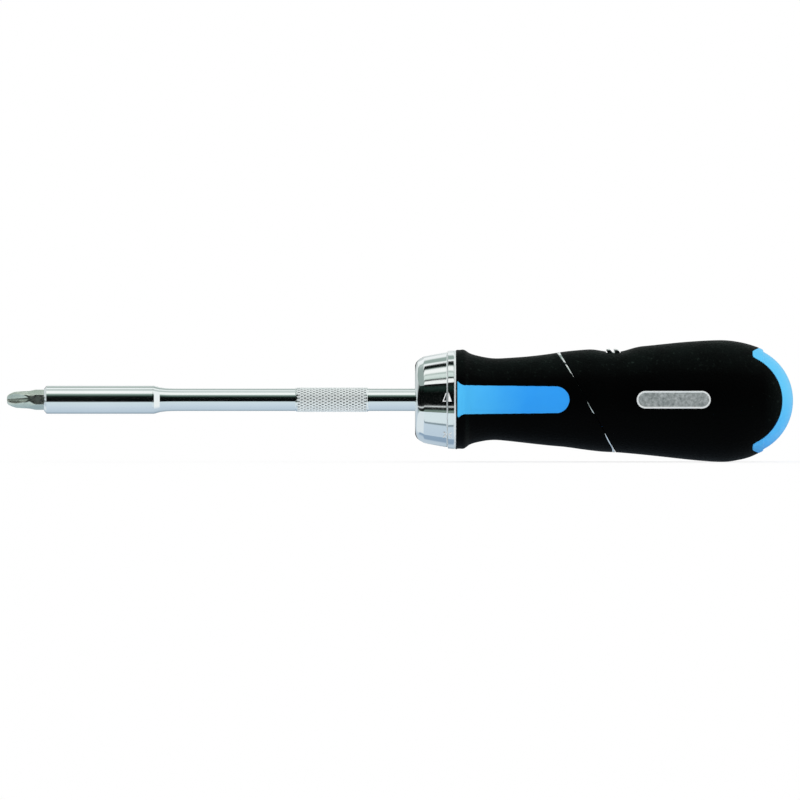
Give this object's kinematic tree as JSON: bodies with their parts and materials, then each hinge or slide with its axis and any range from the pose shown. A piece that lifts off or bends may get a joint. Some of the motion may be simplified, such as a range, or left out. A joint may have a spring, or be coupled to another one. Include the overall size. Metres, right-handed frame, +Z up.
{
  "type": "ratcheting screwdriver",
  "caption": "Ratcheting screwdriver with a selector ring, a knurled shaft, a hex bit holder, a two-part handle that swivels at a slanted seam, and a bit magazine behind a blue end cap.",
  "frame": {"origin": "tip of the screw bit, on the drive axis", "axes": "+X along the drive axis from the bit to the end of the handle, +Z up towards the lock button, +Y away from the badge"},
  "size_m": [0.281, 0.0385, 0.0435],
  "materials": {
    "tool_steel": "satin",
    "chrome": "polished",
    "inner_steel": "satin",
    "spring_steel": "satin",
    "magnet": "satin",
    "bronze": "satin",
    "blue_plastic": "satin",
    "cap_plastic": "gloss",
    "grip_rubber": "textured matt",
    "seal_rubber": "smooth",
    "badge_metal": "cast, satin"
  },
  "bodies": {
    "front_handle": {"front_core": "blue_plastic", "front_grip": "grip_rubber", "grip_inlays": "blue_plastic", "ratchet_housing": "chrome", "ratchet_cover": "inner_steel", "cover_screws": "inner_steel", "selector_snap_ring": "spring_steel", "detent_ball": "inner_steel", "detent_spring": "spring_steel", "front_bush": "bronze", "rear_bush": "bronze", "pawl_pins": "inner_steel", "pawl_spring_forward": "spring_steel", "pawl_spring_reverse": "spring_steel", "seam_plate": "chrome", "pivot_bolt": "inner_steel", "index_disc": "inner_steel", "wave_washer": "spring_steel", "pivot_nut": "inner_steel"},
    "spindle": {"drive_shaft": "chrome", "bit_holder": "chrome", "bit_magnet": "magnet", "bit_clip": "spring_steel", "ratchet_gear": "inner_steel", "shaft_circlip": "spring_steel"},
    "bit": {"screw_bit": "tool_steel"},
    "selector": {"selector_ring": "chrome"},
    "forward_pawl": {"pawl_forward": "inner_steel"},
    "reverse_pawl": {"pawl_reverse": "inner_steel"},
    "rear_handle": {"rear_core": "blue_plastic", "rear_grip": "grip_rubber", "wear_plate": "inner_steel", "pivot_bush": "bronze", "badge_plate": "badge_metal", "lock_spring": "spring_steel"},
    "lock": {"lock_button": "chrome", "lock_plate": "inner_steel"},
    "magazine": {"bit_rack": "blue_plastic", "spare_bits": "tool_steel", "rack_screw": "inner_steel", "rack_o_ring": "seal_rubber", "end_cap": "cap_plastic"}
  },
  "joints": [
    {"name": "drive_spin", "type": "hinge", "parent": "front_handle", "child": "spindle", "pos_m": [0, 0, 0], "axis": [1, 0, 0], "continuous": true},
    {"name": "bit_pull", "type": "slide", "parent": "spindle", "child": "bit", "axis": [-1, 0, 0], "range_m": [0, 0.012]},
    {"name": "selector_turn", "type": "hinge", "parent": "front_handle", "child": "selector", "pos_m": [0.152, 0, 0], "axis": [1, 0, 0], "range_deg": [-18, 18]},
    {"name": "pawl_forward_lift", "type": "hinge", "parent": "front_handle", "child": "forward_pawl", "pos_m": [0.153, 0.00578, 0.00924], "axis": [-1, 0, 0], "range_deg": [0, 12], "stiffness_Nm_per_rad": 0.02, "deforming": ["pawl_spring_forward"]},
    {"name": "pawl_reverse_lift", "type": "hinge", "parent": "front_handle", "child": "reverse_pawl", "pos_m": [0.153, 0.00578, -0.00924], "axis": [1, 0, 0], "range_deg": [0, 12], "stiffness_Nm_per_rad": 0.02, "deforming": ["pawl_spring_reverse"]},
    {"name": "handle_swivel", "type": "hinge", "parent": "front_handle", "child": "rear_handle", "pos_m": [0.20775, 0, -0.0011], "axis": [0.8746, 0, 0.4848], "range_deg": [0, 180]},
    {"name": "lock_press", "type": "slide", "parent": "rear_handle", "child": "lock", "axis": [0.4848, 0, -0.8746], "range_m": [0, 0.0016], "stiffness_N_per_m": 500, "deforming": ["lock_spring"]},
    {"name": "magazine_pull", "type": "slide", "parent": "rear_handle", "child": "magazine", "axis": [1, 0, 0], "range_m": [0, 0.034]}
  ]
}
